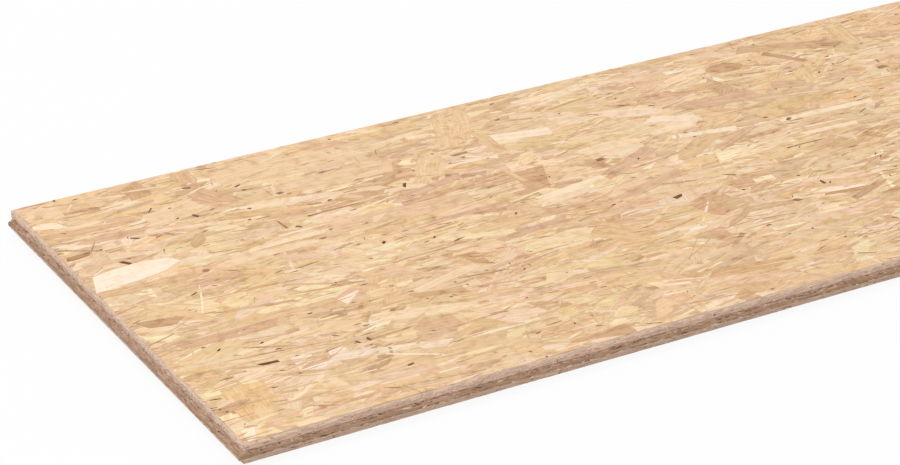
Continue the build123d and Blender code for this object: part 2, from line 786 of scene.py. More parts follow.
class NodeSheet:
    """A node tree that nodes are added to and joined in, one short call each."""

    def __init__(self, tree: bpy.types.NodeTree) -> None:
        """Start on an emptied tree."""
        self.tree = tree
        tree.nodes.clear()

    def add(self, kind: str, inputs: dict | None = None, **settings: object) -> bpy.types.Node:
        """Add a node.

        Args:
            kind: The node's type.
            inputs: Values for its sockets, or other nodes' sockets to join to them.
            settings: The node's own properties.

        Returns:
            The node.
        """
        node = self.tree.nodes.new(kind)
        for name, value in settings.items():
            setattr(node, name, value)
        for name, value in (inputs or {}).items():
            self.feed(node.inputs[name], value)
        return node

    def feed(self, socket: Socket, value: object) -> None:
        """Join a socket to another one, or set its value."""
        if isinstance(value, Socket):
            self.tree.links.new(value, socket)
        else:
            socket.default_value = value

    def sum(
        self, operation: str, first: object, second: object = 0.0, clamp: bool = False
    ) -> Socket:
        """Work out a sum of two values, each a socket or a number."""
        values = {0: first, 1: second}
        return self.add("ShaderNodeMath", values, operation=operation, use_clamp=clamp).outputs[0]

    def ramp(self, value: object, span: Span, start: float, end: float) -> Socket:
        """Carry a value from a span smoothly onto start to end, and hold it there."""
        values = dict(enumerate((value, *span, start, end)))
        return self.add("ShaderNodeMapRange", values, interpolation_type="SMOOTHSTEP").outputs[0]

    def blend(self, factor: object, first: object, second: object, way: str = "MIX") -> Socket:
        """Mix two colours, each a socket or a colour."""
        values = {0: factor, 6: first, 7: second}
        return self.add("ShaderNodeMix", values, data_type="RGBA", blend_type=way).outputs[2]

    def noise(self, vector: Socket, detail: float, scale: float = 1.0) -> Socket:
        """Read smooth random values, about NOISE_MEAN on average, at places of a vector."""
        wanted = {"Vector": vector, "Scale": scale, "Detail": detail, "Roughness": NOISE_ROUGHNESS}
        return self.add("ShaderNodeTexNoise", wanted).outputs["Fac"]

    def stretched(self, vector: Socket, pitch: tuple[float, ...]) -> Socket:
        """Scale places so that one step of a pattern is a pitch long along each axis."""
        scale = [1 / step for step in pitch] + [1.0] * (3 - len(pitch))
        return self.add("ShaderNodeMapping", {"Vector": vector, "Scale": scale}).outputs[0]


def new_material(name: str) -> tuple[bpy.types.Material, NodeSheet]:
    """Make an empty material and the sheet for its nodes."""
    material = bpy.data.materials.new(name)
    material.use_nodes = True
    return material, NodeSheet(material.node_tree)


@dataclass(frozen=True)
class WoodTones:
    """The colours of the wood, dark to light.

    Attributes:
        name: What is made of it.
        bark, heartwood, straw, sapwood: The four colours, at tones of 0, a third, two thirds and 1.
        mauve_tint, yellow_tint: What they are multiplied by at the two ends of the hue.
        green_tint, red_tint: What they are multiplied by where the wood is least and most red.
    """

    name: str
    bark: Colour
    heartwood: Colour
    straw: Colour
    sapwood: Colour
    mauve_tint: Colour
    yellow_tint: Colour
    green_tint: Colour
    red_tint: Colour


PRESSED_TONES = WoodTones(
    "pressed", paint(96, 58, 28), paint(198, 154, 112), paint(234, 198, 157), paint(255, 235, 206),
    (1.0, 0.995, 1.13, 1.0), (1.0, 1.01, 0.84, 1.0), (0.98, 1.04, 1.035, 1.0), (1.02, 0.96, 0.955, 1.0),
)
SAWN_TONES = WoodTones(
    "sawn", paint(92, 64, 46), paint(160, 128, 99), paint(207, 181, 160), paint(241, 213, 184),
    (1.01, 0.98, 1.06, 1.0), (1.0, 1.0, 0.97, 1.0), (0.98, 1.01, 1.01, 1.0), (1.03, 0.98, 0.98, 1.0),
)


# Octaves of noise in the grain, in the flecks and in the stains
GRAIN_DETAIL = 3.0
FLECK_DETAIL = 1.0
STAIN_DETAIL = 4.0
# The shares of bands and fibres in the relief, and the roughness from its hollows to its ridges
BAND_RELIEF = 0.4
FIBRE_RELIEF = 0.6
RELIEF_SPAN: Span = (0.2, 0.8)
RELIEF_ROUGHNESS: Span = (0.7, 0.52)
# How strongly the relief shows, and the gloss of matt wood
RELIEF_STRENGTH = 0.6
WOOD_GLOSS = 0.22


class WoodGrain:
    """The node group for wood of one set of tones, which several finishes share."""

    def __init__(self, tones: WoodTones) -> None:
        """Build the group once.

        The tone at a spot is the strand's own, raised and lowered by broad growth bands and fine
        fibres and lowered by what darkens it. It picks a colour between bark, heartwood, straw and
        sapwood.

        Args:
            tones: The four colours and the four tints of the wood.
        """
        self.tree = bpy.data.node_groups.new(f"{tones.name}_grain", "ShaderNodeTree")
        for way, kind, names in (
            ("INPUT", "Float", ("Tone", "Hue", "Red", "Dark", "Band Depth", "Fibre Depth")),
            ("INPUT", "Vector", ("Band Place", "Fibre Place")),
            ("OUTPUT", "Color", ("Color",)),
            ("OUTPUT", "Float", ("Height", "Roughness")),
        ):
            for name in names:
                self.tree.interface.new_socket(name, in_out=way, socket_type=f"NodeSocket{kind}")
        sheet = NodeSheet(self.tree)
        given = sheet.add("NodeGroupInput").outputs
        bands = sheet.noise(given["Band Place"], GRAIN_DETAIL)
        fibres = sheet.noise(given["Fibre Place"], GRAIN_DETAIL)
        banded = sheet.sum("MULTIPLY", sheet.sum("SUBTRACT", bands, NOISE_MEAN), given["Band Depth"])
        fibred = sheet.sum("MULTIPLY", sheet.sum("SUBTRACT", fibres, NOISE_MEAN), given["Fibre Depth"])
        tone = sheet.sum("ADD", given["Tone"], sheet.sum("ADD", banded, fibred))
        tone = sheet.sum("SUBTRACT", tone, given["Dark"])
        third = sheet.sum("MULTIPLY", tone, 3.0)
        colour = sheet.blend(sheet.sum("ADD", third, 0.0, clamp=True), tones.bark, tones.heartwood)
        colour = sheet.blend(sheet.sum("SUBTRACT", third, 1.0, clamp=True), colour, tones.straw)
        colour = sheet.blend(sheet.sum("SUBTRACT", third, 2.0, clamp=True), colour, tones.sapwood)
        for value, low, high in (
            ("Hue", tones.mauve_tint, tones.yellow_tint),
            ("Red", tones.green_tint, tones.red_tint),
        ):
            colour = sheet.blend(1.0, colour, sheet.blend(given[value], low, high), "MULTIPLY")
        height = sheet.sum(
            "ADD", sheet.sum("MULTIPLY", bands, BAND_RELIEF), sheet.sum("MULTIPLY", fibres, FIBRE_RELIEF)
        )
        rough = sheet.ramp(height, RELIEF_SPAN, *RELIEF_ROUGHNESS)
        sheet.add("NodeGroupOutput", {"Color": colour, "Height": height, "Roughness": rough})

    def place(self, sheet: NodeSheet, **inputs: object) -> bpy.types.Node:
        """Put the group into a material.

        Args:
            sheet: The material's nodes.
            inputs: The group's inputs, with spaces written as underscores.

        Returns:
            The group's node.
        """
        named = {name.replace("_", " ").title(): value for name, value in inputs.items()}
        return sheet.add("ShaderNodeGroup", named, node_tree=self.tree)


def wood_surface(sheet: NodeSheet, grain: bpy.types.Node, depth: float) -> None:
    """Carry the grain group's outputs to a matt wood surface.

    Args:
        sheet: The material's nodes.
        grain: The placed grain group.
        depth: How deep the grain's relief is.
    """
    relief = {"Strength": RELIEF_STRENGTH, "Distance": depth, "Height": grain.outputs["Height"]}
    bump = sheet.add("ShaderNodeBump", relief)
    wood = sheet.add(
        "ShaderNodeBsdfPrincipled",
        {
            "Base Color": grain.outputs["Color"],
            "Roughness": grain.outputs["Roughness"],
            "Normal": bump.outputs["Normal"],
            "Specular IOR Level": WOOD_GLOSS,
        },
    )
    sheet.add("ShaderNodeOutputMaterial", {"Surface": wood.outputs[0]})


@dataclass(frozen=True)
class StrandFinish:
    """The finish of the strands: each has its own tone, with grain along its length.

    Attributes:
        name: The material's name.
        band_pitch, fibre_pitch: Lengths along and across a strand over which its bands and fibres change.
        band_depth, fibre_depth: How far they change its tone.
        rim_glue_and_shade_depth, rim_glue_and_shade_width: How much darker its rim is, partly darker glue
        and bark at its edge and partly painted shade where it meets its neighbours, and how far in that
        goes.
        fleck_pitch: The usual distance between dark flecks, along and across.
        fleck_span, fleck_depth: The noise between which a fleck sets in, and how much darker it is.
        stain_pitch: The usual distance between stains of resin.
        stain_span, stain_depth: The noise between which a stain sets in, and how much darker it is.
        relief: How deep the grain goes.
    """

    name: str
    band_pitch: Span = (55.0 * MM, 3.4 * MM)
    fibre_pitch: Span = (17.0 * MM, 0.9 * MM)
    band_depth: float = 0.5
    fibre_depth: float = 0.42
    rim_glue_and_shade_depth: float = 0.11
    rim_glue_and_shade_width: float = 0.9 * MM
    fleck_pitch: Span = (9.0 * MM, 1.3 * MM)
    fleck_span: Span = (0.69, 0.77)
    fleck_depth: float = 0.42
    stain_pitch: float = 14.0 * MM
    stain_span: Span = (0.45, 0.75)
    stain_depth: float = 0.16
    relief: float = 0.15 * MM

    def material(self, grain: WoodGrain) -> bpy.types.Material:
        """Make the material.

        Args:
            grain: The shared grain group.

        Returns:
            A material that reads the strand's maps and its tone, hue and redness.
        """
        material, sheet = new_material(self.name)
        lie = sheet.add("ShaderNodeUVMap", uv_map=GRAIN_MAP).outputs["UV"]
        place = sheet.add("ShaderNodeUVMap", uv_map=PLACE_MAP).outputs["UV"]
        spot = sheet.add("ShaderNodeSeparateXYZ", {0: place}).outputs
        from_side = sheet.sum("MINIMUM", spot["X"], spot["Y"])
        # Each strand darkens towards its outline: partly darker glue and bark, partly painted shade where
        # it meets its neighbours
        rim_glue_and_shade = sheet.ramp(from_side, (0.0, self.rim_glue_and_shade_width), self.rim_glue_and_shade_depth, 0.0)
        own = {
            name: sheet.add("ShaderNodeAttribute", attribute_name=name).outputs["Fac"]
            for name in STRAND_VALUES
        }
        flecks = sheet.noise(sheet.stretched(lie, self.fleck_pitch), FLECK_DETAIL)
        fleck = sheet.ramp(flecks, self.fleck_span, 0.0, self.fleck_depth)
        spread = sheet.add("ShaderNodeTexCoord").outputs["Object"]
        stain = sheet.noise(spread, STAIN_DETAIL, 1 / self.stain_pitch)
        stain = sheet.ramp(stain, self.stain_span, 0.0, self.stain_depth)
        dark = sheet.sum("ADD", rim_glue_and_shade, sheet.sum("ADD", fleck, stain))
        node = grain.place(
            sheet, **own, dark=dark, band_depth=self.band_depth, fibre_depth=self.fibre_depth,
            band_place=sheet.stretched(lie, self.band_pitch),
            fibre_place=sheet.stretched(lie, self.fibre_pitch),
        )
        wood_surface(sheet, node, self.relief)
        return material


@dataclass(frozen=True)
class CoreFinish:
    """The finish of the board's own solid: sawn layers, darkest in the core.

    Attributes:
        name: The material's name.
        band_pitch, fibre_pitch: Lengths along an edge, into it and up it over which the layers change.
        band_depth, fibre_depth: How far they change the tone.
        core_tone, lip_tone, face_tone: The tone at mid-height, in the lips and next to the two faces.
        lip_span, face_span: Heights off the middle between which the tone of the lips and faces sets in.
        below_middle_tone: What the tone gains a little below the middle, lighter on the tongue's lower
            side.
        below_middle_span: Heights below the middle between which that sets in.
        hue: From mauve at 0 to straw yellow at 1.
        red: From greenish at 0 to reddish at 1.
        relief: How deep the grain goes.
    """

    name: str = "sawn_core"
    band_pitch: tuple[float, float, float] = (22.0 * MM, 22.0 * MM, 1.6 * MM)
    fibre_pitch: tuple[float, float, float] = (5.0 * MM, 5.0 * MM, 0.7 * MM)
    band_depth: float = 0.45
    fibre_depth: float = 0.3
    core_tone: float = 0.34
    lip_tone: float = 0.62
    face_tone: float = 0.76
    lip_span: Span = (2.6 * MM, 3.4 * MM)
    face_span: Span = (10.5 * MM, 12.0 * MM)
    below_middle_tone: float = 0.3
    below_middle_span: Span = (0.8 * MM, 2.0 * MM)
    hue: float = 0.45
    red: float = 0.5
    relief: float = 0.3 * MM

    def material(self, grain: WoodGrain, board: Board) -> bpy.types.Material:
        """Make the material.

        Args:
            grain: The shared grain group.
            board: The board, for its heights.

        Returns:
            A material that reads the place in the board.
        """
        material, sheet = new_material(self.name)
        place = sheet.add("ShaderNodeTexCoord").outputs["Object"]
        height = sheet.add("ShaderNodeSeparateXYZ", {0: place}).outputs["Z"]
        off_middle = sheet.sum("ABSOLUTE", sheet.sum("SUBTRACT", height, board.mid_height))
        inner = sheet.ramp(off_middle, self.lip_span, self.core_tone, self.lip_tone)
        outer = sheet.ramp(off_middle, self.face_span, 0.0, self.face_tone - self.lip_tone)
        below = sheet.sum("SUBTRACT", board.mid_height, height)
        # The tone is lighter a little below the middle, on the tongue's lower side
        lighter_below = sheet.ramp(below, self.below_middle_span, 0.0, self.below_middle_tone)
        tone = sheet.sum("MAXIMUM", inner, sheet.sum("ADD", lighter_below, self.core_tone))
        tone = sheet.sum("ADD", tone, outer)
        node = grain.place(
            sheet, tone=tone, hue=self.hue, red=self.red, dark=0.0,
            band_place=sheet.stretched(place, self.band_pitch), band_depth=self.band_depth,
            fibre_place=sheet.stretched(place, self.fibre_pitch), fibre_depth=self.fibre_depth,
        )
        wood_surface(sheet, node, self.relief)
        return material


FACE_CUTS = (
    StrandCut(
        Grade.FLAKE, stations=5, lift=(0.05 * MM, 0.3 * MM), slope=0.05 * MM, blunt=0.9, rough=0.03,
        cover=11.0, length=(70 * MM, 170 * MM), width=(18 * MM, 60 * MM), turn=16.0, crossed=0.18,
        tone=(0.67, 0.073), pale=0.03, brown=0.05,
    ),
    StrandCut(
        Grade.STRAND, stations=4, lift=(0.08 * MM, 0.36 * MM), slope=0.06 * MM, blunt=0.7, rough=0.06,
        cover=2.4, length=(40 * MM, 150 * MM), width=(5 * MM, 20 * MM), turn=13.0, crossed=0.05,
        tone=(0.67, 0.09), pale=0.06, brown=0.09,
    ),
    StrandCut(
        Grade.PICKED, stations=5, lift=(0.41 * MM, 0.58 * MM), slope=0.01 * MM, blunt=0.8, rough=0.07,
        slant=0.3,
    ),
    StrandCut(
        Grade.SLIVER, stations=3, lift=(0.16 * MM, 0.42 * MM), slope=0.06 * MM, blunt=0.4, rough=0.1,
        cover=0.65, length=(16 * MM, 100 * MM), width=(1.2 * MM, 5 * MM), turn=12.0, crossed=0.04,
        tone=(0.668, 0.115), pale=0.1, brown=0.12,
    ),
    # Dark thin splinters: partly bark, partly painted shade standing in for the gaps between strands
    StrandCut(
        Grade.SPLINTER, stations=3, lift=(0.4 * MM, 0.46 * MM), slope=0.02 * MM, blunt=0.2, rough=0.15,
        cover=0.0065, length=(6 * MM, 28 * MM), width=(0.8 * MM, 2.2 * MM), turn=13.0, crossed=0.08,
        tone=(0.3, 0.1),
    ),
    StrandCut(
        Grade.SPECK, stations=3, lift=(0.42 * MM, 0.47 * MM), slope=0.01 * MM, blunt=0.5, rough=0.15,
        cover=0.0026, length=(3 * MM, 10 * MM), width=(1.2 * MM, 3.2 * MM), turn=30.0, crossed=0.3,
        tone=(0.1, 0.08),
    ),
)

PICKED = (
    PickedStrand(58, 219, 116, 38, 7, 1.0, 0.22),
    PickedStrand(492, 146, 94, 37, 57, 0.68, 0.6),
    PickedStrand(575, 50, 125, 46, 64, 0.66, 0.65),
    PickedStrand(590, 117, 66, 19, 88, 0.62, 0.6),
    PickedStrand(222, 85, 48, 30, -60, 0.5, 0.35),
    PickedStrand(340, 50, 190, 40, -3, 0.7, 0.5),
    PickedStrand(380, 110, 150, 36, -4, 0.68, 0.45),
    PickedStrand(165, 102, 75, 38, 10, 0.72, 0.5),
    PickedStrand(458, 194, 110, 14, 14, 0.52, 0.0),
    PickedStrand(465, 213, 105, 10, 5, 0.5, 0.3),
    PickedStrand(250, 235, 100, 10, 1, 0.82, 0.5),
    PickedStrand(225, 252, 110, 13, 0, 0.78, 0.5),
    PickedStrand(400, 235, 190, 32, -3, 0.62, 0.35),
    PickedStrand(470, 275, 115, 9, 2, 0.52, 0.15),
    PickedStrand(90, 406, 120, 17, -1, 0.5, 0.2, 0.8),
    PickedStrand(37, 346, 44, 17, -10, 0.38, 0.4),
    PickedStrand(62, 332, 105, 15, -50, 0.66, 0.7),
    PickedStrand(21, 152, 30, 9, 5, 0.28, 0.4),
    PickedStrand(75, 125, 85, 16, -4, 0.54, 0.2, 0.7),
    PickedStrand(150, 25, 42, 29, 89, 0.44, 0.45),
    PickedStrand(162, 27, 58, 4, -9, 0.78, 0.6),
    PickedStrand(215, 19, 32, 28, 82, 0.56, 0.45),
    PickedStrand(19, 62, 38, 16, -20, 0.9, 0.45),
    PickedStrand(62, 94, 125, 12, -6, 0.55, 0.3, 0.7),
    PickedStrand(60, 256, 125, 16, -3, 0.56, 0.5),
    PickedStrand(160, 183, 40, 15, 52, 0.48, 0.45),
    PickedStrand(250, 280, 58, 12, -22, 0.66, 0.0),
    PickedStrand(340, 436, 65, 10, -17, 0.46, 0.6),
    PickedStrand(300, 498, 55, 26, -5, 0.52, 0.4),
    PickedStrand(305, 468, 110, 22, -14, 0.79, 0.5),
    PickedStrand(365, 408, 95, 14, 14, 0.77, 0.5),
    PickedStrand(445, 615, 80, 22, 4, 0.45, 0.25),
    PickedStrand(360, 590, 30, 24, 10, 0.66, 0.7),
    PickedStrand(597, 407, 55, 40, -50, 0.6, 0.7),
    PickedStrand(595, 292, 75, 22, 8, 0.82, 0.45),
    PickedStrand(515, 350, 100, 11, 8, 0.48, 0.0),
    PickedStrand(977, 70, 55, 25, -5, 0.42, 0.5),
    PickedStrand(1090, 55, 140, 22, -20, 0.48, 0.35),
    PickedStrand(1145, 74, 30, 12, -25, 0.34, 0.4),
    PickedStrand(1066, 81, 60, 10, -52, 0.38, 0.3),
    PickedStrand(905, 152, 125, 26, -5, 0.52, 0.1),
    PickedStrand(1057, 147, 55, 28, 75, 0.66, 0.7),
    PickedStrand(1180, 55, 50, 28, 80, 0.62, 0.7),
    PickedStrand(1020, 155, 45, 20, -20, 0.52, 0.1),
    PickedStrand(637, 117, 80, 20, -12, 0.9, 0.3),
    PickedStrand(795, 130, 80, 24, -15, 0.8, 0.2),
    PickedStrand(830, 172, 65, 18, -25, 0.87, 0.3),
    PickedStrand(705, 200, 60, 24, 2, 0.8, 0.4),
    PickedStrand(815, 195, 75, 15, 3, 0.85, 0.5),
    PickedStrand(710, 252, 105, 20, 25, 0.52, 0.1),
    PickedStrand(810, 257, 90, 25, 30, 0.58, 0.6),
    PickedStrand(700, 318, 110, 18, 15, 0.54, 0.1),
    PickedStrand(870, 255, 90, 14, 25, 0.54, 0.15),
    PickedStrand(613, 278, 100, 10, 8, 0.9, 0.5),
    PickedStrand(1015, 247, 140, 11, -2, 0.88, 0.5),
    PickedStrand(987, 293, 80, 10, -4, 0.86, 0.5),
    PickedStrand(880, 320, 45, 24, 10, 0.66, 0.7),
    PickedStrand(745, 445, 60, 10, 30, 0.45, 0.4),
    PickedStrand(900, 450, 65, 6, -8, 0.42, 0.5),
    PickedStrand(263, 195, 22, 3, 93, 0.3, 0.4),
    PickedStrand(45, 138, 40, 1.6, 57, 0.4, 0.4),
    PickedStrand(322, 163, 18, 4, -15, 0.3, 0.4),
    PickedStrand(278, 209, 8, 4, -40, 0.25, 0.4),
    PickedStrand(184, 122, 10, 4, -60, 0.12, 0.4),
    PickedStrand(299, 117, 8, 5, 10, 0.2, 0.4),
    PickedStrand(345, 295, 7, 4, 40, 0.05, 0.4),
    PickedStrand(134, 256, 9, 6, 20, 0.2, 0.4),
    PickedStrand(100, 486, 22, 5, -5, 0.02, 0.4),
    PickedStrand(62, 193, 13, 5, -55, 0.1, 0.4),
    PickedStrand(97, 141, 11, 3, -30, 0.15, 0.4),
    PickedStrand(207, 49, 10, 4, -20, 0.1, 0.4),
    PickedStrand(440, 172, 11, 4, 60, 0.08, 0.4),
    PickedStrand(542, 129, 22, 5, 0, 0.25, 0.4),
    PickedStrand(335, 189, 70, 3, 1, 0.26, 0.4),
    PickedStrand(711, 363, 13, 6, 15, 0.05, 0.4),
    PickedStrand(886, 416, 10, 4, 95, 0.05, 0.4),
    PickedStrand(830, 441, 9, 5, -40, 0.1, 0.4),
    PickedStrand(934, 315, 58, 2.4, 0, 0.3, 0.4),
    PickedStrand(685, 228, 12, 6, 10, 0.2, 0.4),
    PickedStrand(957, 245, 9, 5, 35, 0.1, 0.4),
    PickedStrand(1160, 171, 15, 7, 5, 0.2, 0.4),
)


@dataclass
class PressedFaces:
    """The upper face and the underside, each covered with a mat of strands.

    Attributes:
        board: The board that they lie on.
        finish: The strands' finish.
        bays: How many stretches of the length the pieces are divided by.
        upper_seed, under_seed: The starts of the two mats' random numbers.
        drift: How far the tone wanders over a face.
        under_cover: How thickly the underside is laid, as a share of the upper face.
    """

    board: Board
    finish: StrandFinish = StrandFinish("pressed_face_strands")
    bays: int = 3
    upper_seed: int = 11
    under_seed: int = 23
    drift: float = 0.09
    under_cover: float = 0.6

    def faces(self) -> dict[str, Face]:
        """Find the two flat faces inside their broken corners, the upper one without its sawn-toned strip
        along the left edge.

        Returns:
            The faces by name, both with their strands along the board.
        """
        board, broken = self.board, self.board.corner_break
        low, high = board.face_low + broken, board.face_high - broken
        inset = board.lip_setback
        width = high[1] - low[1]
        top, bottom = board.high[2], board.low[2]
        left = low[0] + board.sawn_toned_border
        upper = Face.between([left, low[1], top], [high[0], low[1], top], [0, width, 0])
        under = Face.between(
            [low[0] + inset, high[1] - inset, bottom],
            [high[0] - inset, high[1] - inset, bottom],
            [0, 2 * inset - width, 0],
        )
        return {"upper": upper, "under": under}

    def build(self, grain: WoodGrain) -> list[bpy.types.Object]:
        """Lay both mats and join each grade into a piece.

        Args:
            grain: The shared grain group.

        Returns:
            The pieces.
        """
        material = self.finish.material(grain)
        faces = self.faces()
        border = self.board.sawn_toned_border / MM
        picked = tuple(replace(strand, right=strand.right - border) for strand in PICKED)
        scattered = [cut for cut in FACE_CUTS if cut.grade is not Grade.PICKED]
        plain = tuple(replace(cut, cover=cut.cover * self.under_cover) for cut in scattered)
        mats = {
            "upper": StrandMat(faces["upper"], FACE_CUTS, self.upper_seed, picked, drift=self.drift),
            "under": StrandMat(faces["under"], plain, self.under_seed, drift=self.drift),
        }
        groups = {
            "flakes": [Grade.FLAKE, Grade.PICKED],
            "strands": [Grade.STRAND],
            "slivers": [Grade.SLIVER, Grade.SPLINTER, Grade.SPECK],
        }
        pieces = []
        for side, mat in mats.items():
            laid = mat.lay()
            for (word, grades), bay in product(groups.items(), range(self.bays)):
                found = [self.in_bay(laid[grade], mat.face, bay) for grade in grades if grade in laid]
                batches = [(mat.face, strands, mat.root) for strands in found]
                piece = PlateMesh(f"{side}_{word}_{bay + 1}", batches).build()
                piece.data.materials.append(material)
                pieces.append(piece)
        return pieces

    def in_bay(self, strands: Strands, face: Face, bay: int) -> Strands:
        """Keep the strands whose middle lies in one of the equal stretches of a face."""
        share = strands.sides[..., 0].mean((1, 2)) / face.size[0]
        return strands.kept((share * self.bays).astype(int).clip(0, self.bays - 1) == bay)


SAWN_ALONG = StrandCut(
    Grade.SAWN, stations=2, lift=(0.02 * MM, 0.14 * MM), slope=0.03 * MM, blunt=0.5, rough=0.15,
    cover=1.5, length=(6 * MM, 34 * MM), width=(0.6 * MM, 2.2 * MM), turn=5.0, crossed=0.12,
    tone=(0.0, 0.11),
)
SAWN_ACROSS = replace(
    SAWN_ALONG, length=(3 * MM, 16 * MM), width=(0.9 * MM, 3.4 * MM), turn=16.0, crossed=0.2,
    tone=(-0.03, 0.16),
)
SAWN_BORDER = replace(
    SAWN_ALONG, lift=(0.1 * MM, 0.4 * MM), cover=4.0, width=(1.2 * MM, 4.0 * MM), crossed=0.0,
    tone=(0.0, 0.07),
)
# Painted shade: dark flat flecks on the sawn edges stand in for the shadowed voids between strands
SAWN_VOID_SHADE = replace(
    SAWN_ALONG, grade=Grade.SPECK, lift=(0.15 * MM, 0.18 * MM), slope=0.0, cover=0.04,
    length=(1.5 * MM, 8 * MM), width=(0.7 * MM, 2.4 * MM), turn=25.0, tone=(-0.34, 0.08),
)


@dataclass
class SawnEdges:
    """The strands that show where the saw went through the board, on all four edges.

    The face layers run along the board and the core's across it, so on a long edge the lips show
    long streaks and the tongue shows strand ends, and on a short edge the other way round.

    Attributes:
        board: The board.
        finish: The sawn strands' finish.
        lip_layers_and_highlight, tongue_layers: The tone at heights up the long edges, in metres above
            the underside; the long lips' lower corner carries a painted highlight.
        short_lip_layers, short_tongue_layers: The same on the short edges.
        first_seed, edge_seeds: The first face's random numbers, and how far apart two edges' are.
        cell, least_seen: The raster and the share for finding the strands that others hide.
    """

    board: Board
    # The sawn strands' rims are darkened too: partly darker glue and bark, partly painted shade
    finish: StrandFinish = StrandFinish(
        "sawn_edge_strands", band_pitch=(14.0 * MM, 3.0 * MM), fibre_pitch=(5.0 * MM, 0.9 * MM),
        fibre_depth=0.4, rim_glue_and_shade_depth=0.08, rim_glue_and_shade_width=0.2 * MM, fleck_pitch=(4.0 * MM, 1.2 * MM),
    )
    # The long lips' lower corner, 15.75 to 16.6 mm up, is painted brightest: partly pale fibres on the
    # corner, partly a painted highlight
    lip_layers_and_highlight: tuple[Span, ...] = (
        (0.0, 0.7), (9.25 * MM, 0.64), (15.75 * MM, 1.0), (16.6 * MM, 1.0), (17.2 * MM, 0.84),
        (20.0 * MM, 0.79), (22.0 * MM, 0.94), (24.5 * MM, 0.99), (25.0 * MM, 0.9),
    )
    # The tongue tips are lighter towards their lower side
    tongue_layers: tuple[Span, ...] = (
        (11.0 * MM, 0.66), (13.0 * MM, 0.36), (15.2 * MM, 0.33), (15.75 * MM, 0.6),
    )
    short_lip_layers: tuple[Span, ...] = (
        (0.0, 0.78), (9.25 * MM, 0.68), (15.75 * MM, 0.66), (17.6 * MM, 0.74), (19.4 * MM, 0.91),
        (21.0 * MM, 1.01), (24.5 * MM, 1.01), (25.0 * MM, 0.76),
    )
    # The tongue tips are lighter towards their lower side
    short_tongue_layers: tuple[Span, ...] = (
        (11.0 * MM, 0.9), (13.0 * MM, 0.78), (14.4 * MM, 0.5), (15.2 * MM, 0.44), (15.75 * MM, 0.45),
    )
    first_seed: int = 100
    edge_seeds: int = 20
    cell: float = 0.5 * MM
    least_seen: float = 0.1

    def lips(self) -> dict[str, Face]:
        """Find the flat upper and lower lips of the four edges, and the sawn-toned strip along the upper
        face's left edge.

        Returns:
            The lips by name, each starting at its lower corner with its second side upwards, and the
            border with its second side along the edge.
        """
        board = self.board
        (x0, y0, _), (x1, y1, _) = board.face_low, board.face_high
        back, broken = board.lip_setback, board.corner_break
        at_left, top = x0 + broken, board.high[2]
        faces = {
            "left_border": Face.between(
                [at_left, y0 + broken, top], [at_left + board.sawn_toned_border, y0 + broken, top],
                [0, y1 - y0 - 2 * broken, 0],
            ),
        }
        for side, start, end, mouth, way in (
            ("near", (x0, y0), (x1, y0), board.tongue_root, (0, 1)),
            ("left", (x0, y1), (x0, y0), board.tongue_root, (1, 0)),
            ("far", (x1, y1), (x0, y1), board.groove_mouth, (0, -1)),
            ("right", (x1, y0), (x1, y1), board.groove_mouth, (-1, 0)),
        ):
            upper, lower = board.mid_height + mouth / 2, board.mid_height - mouth / 2
            rise = [0, 0, top - broken - upper]
            faces[f"{side}_upper"] = Face.between([*start, upper], [*end, upper], rise)
            inward = back * np.array(way)
            first, last = np.add(start, inward), np.add(end, inward)
            rise = [0, 0, lower - broken]
            faces[f"{side}_lower"] = Face.between([*first, broken], [*last, broken], rise)
        return faces

    def tongues(self) -> dict[str, Face]:
        """Find the upper flanks and the tips of the two tongues.

        Returns:
            The faces by name; a flank starts at its tip with its second side towards the root.
        """
        board = self.board
        (x0, y0, _), (x1, y1, _) = board.face_low, board.face_high
        tip_x, tip_y = board.low[0], board.low[1]
        half_tip, half_root, tip_round = board.tongue_tip / 2, board.tongue_root / 2, board.tip_round
        fall = (half_root - half_tip) * tip_round / board.tongue_reach
        top = board.mid_height + half_tip + fall
        climb = half_root - half_tip - fall
        flank = board.tongue_reach - tip_round
        flat = 2 * (half_tip - tip_round)
        foot = board.mid_height - flat / 2
        far_end, right_end = y1 - board.groove_depth, x1 - board.groove_depth
        in_x, in_y = tip_x + tip_round, tip_y + tip_round
        return {
            "near_flank": Face.between([x0, in_y, top], [right_end, in_y, top], [0, flank, climb]),
            "near_tip": Face.between([in_x, tip_y, foot], [right_end, tip_y, foot], [0, 0, flat]),
            "left_flank": Face.between([in_x, far_end, top], [in_x, y0, top], [flank, 0, climb]),
            "left_tip": Face.between([tip_x, far_end, foot], [tip_x, in_y, foot], [0, 0, flat]),
        }

    def build(self, grain: WoodGrain) -> list[bpy.types.Object]:
        """Lay the sawn strands and join those of each edge into a piece.

        Args:
            grain: The shared grain group for sawn wood.

        Returns:
            The pieces.
        """
        material = self.finish.material(grain)
        faces = self.lips() | self.tongues()
        pieces = []
        for number, side in enumerate(("near", "left", "far", "right")):
            long_edge = side in ("near", "far")
            lips, tongues = (
                (self.lip_layers_and_highlight, self.tongue_layers) if long_edge
                else (self.short_lip_layers, self.short_tongue_layers)
            )
            batches = []
            for order, (name, face) in enumerate(faces.items()):
                if not name.startswith(side):
                    continue
                lip = not name.endswith(("flank", "tip"))
                cuts = (SAWN_ALONG if lip == long_edge else SAWN_ACROSS, SAWN_VOID_SHADE)
                if name == "left_border":
                    cuts = (SAWN_BORDER,)
                mat = StrandMat(
                    face, cuts, self.first_seed + self.edge_seeds * number + order,
                    layers=lips if lip else tongues, cell=self.cell, least_seen=self.least_seen,
                )
                batches += [(face, strands, mat.root) for strands in mat.lay().values()]
            piece = PlateMesh(f"{side}_sawn_strands", batches).build()
            piece.data.materials.append(material)
            pieces.append(piece)
        return pieces


